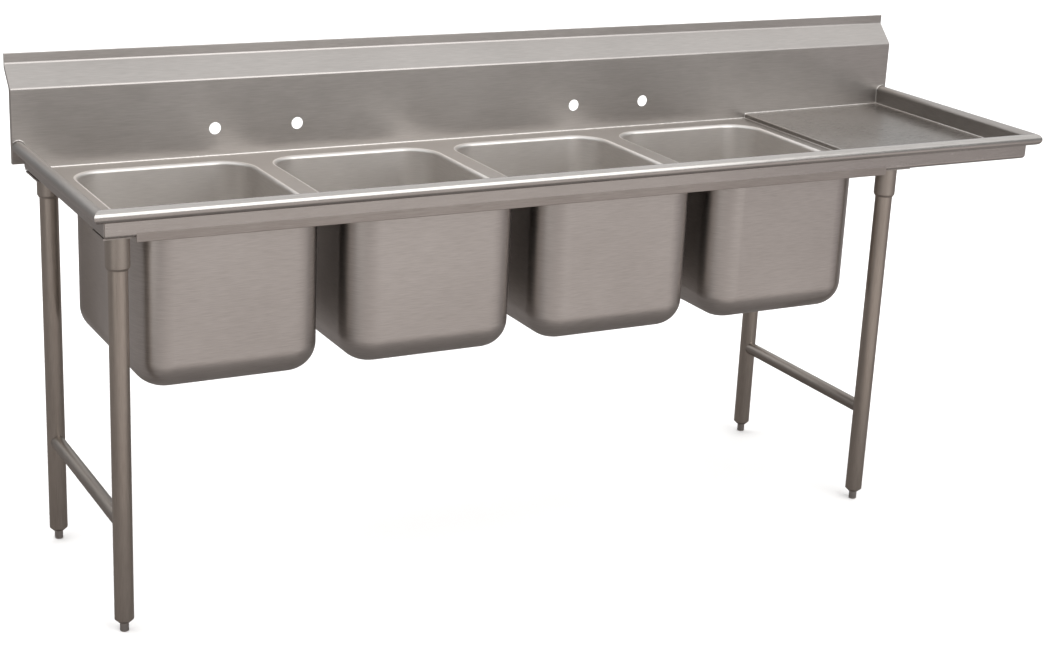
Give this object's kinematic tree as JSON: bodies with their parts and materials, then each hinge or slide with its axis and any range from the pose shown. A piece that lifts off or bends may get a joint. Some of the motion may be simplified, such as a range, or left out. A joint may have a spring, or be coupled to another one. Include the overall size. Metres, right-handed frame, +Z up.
{
  "type": "compartment sink",
  "caption": "Long stainless steel compartment sink with deep rounded bowls, backsplash, raised drainboard at the right, rolled rim and tubular legs on levelling feet.",
  "frame": {"origin": "on the floor, under the middle of the plan of the whole sink", "axes": "+X along the length to the drainboard end, +Y to the wall behind the backsplash, +Z up"},
  "size_m": [2.413, 0.686, 1.128],
  "materials": {
    "satin_sheet": "satin ground stainless sheet",
    "rolled_rim": "satin stainless, polished along the roll",
    "drawn_bowl": "satin drawn stainless",
    "leg_tube": "satin stainless tube",
    "socket_casting": "satin stainless socket",
    "foot_steel": "turned stainless",
    "screw": "plain stainless screw",
    "mill_channel": "mill finish stainless"
  },
  "bodies": {
    "sink": {"bowl_1": "drawn_bowl", "bowl_2": "drawn_bowl", "bowl_3": "drawn_bowl", "bowl_4": "drawn_bowl", "deck_panel": "satin_sheet", "front_rim": "rolled_rim", "left_rim": "rolled_rim", "right_rim": "rolled_rim", "backsplash": "satin_sheet", "drainboard_pan": "satin_sheet", "front_channel": "satin_sheet", "rear_angle": "mill_channel", "drainboard_cross_channel": "mill_channel", "drainboard_stiffener": "mill_channel", "socket_set_screws": "screw", "side_rail_left": "leg_tube", "side_rail_right": "leg_tube", "leg_plate_front_left": "mill_channel", "leg_socket_front_left": "socket_casting", "leg_front_left": "leg_tube", "leg_insert_front_left": "leg_tube", "leg_plate_front_right": "mill_channel", "leg_socket_front_right": "socket_casting", "leg_front_right": "leg_tube", "leg_insert_front_right": "leg_tube", "leg_plate_back_left": "mill_channel", "leg_socket_back_left": "socket_casting", "leg_back_left": "leg_tube", "leg_insert_back_left": "leg_tube", "leg_plate_back_right": "mill_channel", "leg_socket_back_right": "socket_casting", "leg_back_right": "leg_tube", "leg_insert_back_right": "leg_tube"},
    "foot_front_left": {"foot_front_left": "foot_steel"},
    "foot_front_right": {"foot_front_right": "foot_steel"},
    "foot_back_left": {"foot_back_left": "foot_steel"},
    "foot_back_right": {"foot_back_right": "foot_steel"}
  },
  "joints": [
    {"name": "screw_front_left", "type": "slide", "parent": "sink", "child": "foot_front_left", "axis": [0, 0, 1], "range_m": [-0.017, 0.01]},
    {"name": "screw_front_right", "type": "slide", "parent": "sink", "child": "foot_front_right", "axis": [0, 0, 1], "range_m": [-0.017, 0.01]},
    {"name": "screw_back_left", "type": "slide", "parent": "sink", "child": "foot_back_left", "axis": [0, 0, 1], "range_m": [-0.017, 0.01]},
    {"name": "screw_back_right", "type": "slide", "parent": "sink", "child": "foot_back_right", "axis": [0, 0, 1], "range_m": [-0.017, 0.01]}
  ]
}
